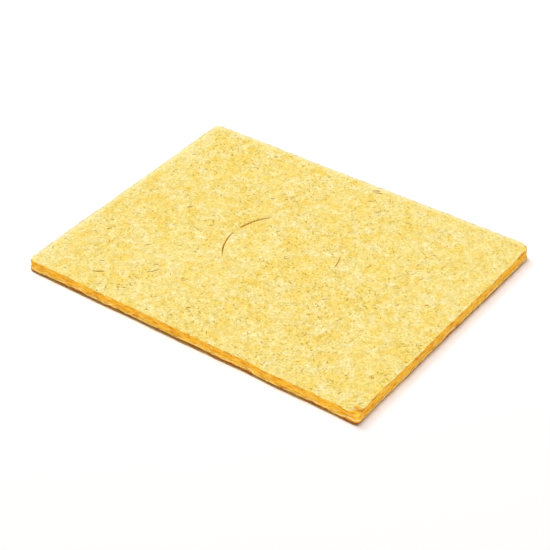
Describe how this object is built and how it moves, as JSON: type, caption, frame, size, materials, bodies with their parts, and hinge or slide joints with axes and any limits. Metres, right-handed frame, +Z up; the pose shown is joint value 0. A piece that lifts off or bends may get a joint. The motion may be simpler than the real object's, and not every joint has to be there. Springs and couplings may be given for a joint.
{
  "type": "soldering tip cleaning sponge",
  "caption": "Thin rectangular pad of dry compressed cellulose sponge for wiping a soldering tip, with a round part-cut plug that pushes out to leave a solder-catching hole.",
  "frame": {"origin": "middle of the pad on the face that it lies on", "axes": "+X along the long side, +Y along the short side, +Z up through the thickness, out of the wiping face"},
  "size_m": [0.07, 0.053, 0.0019],
  "materials": {
    "cellulose_sponge": "matte"
  },
  "bodies": {
    "pad": {"sponge_pad": "cellulose_sponge"},
    "plug": {"centre_plug": "cellulose_sponge"}
  },
  "joints": [
    {"name": "plug_push_out", "type": "slide", "parent": "pad", "child": "plug", "axis": [0, 0, 1], "range_m": [0, 0.008]}
  ]
}
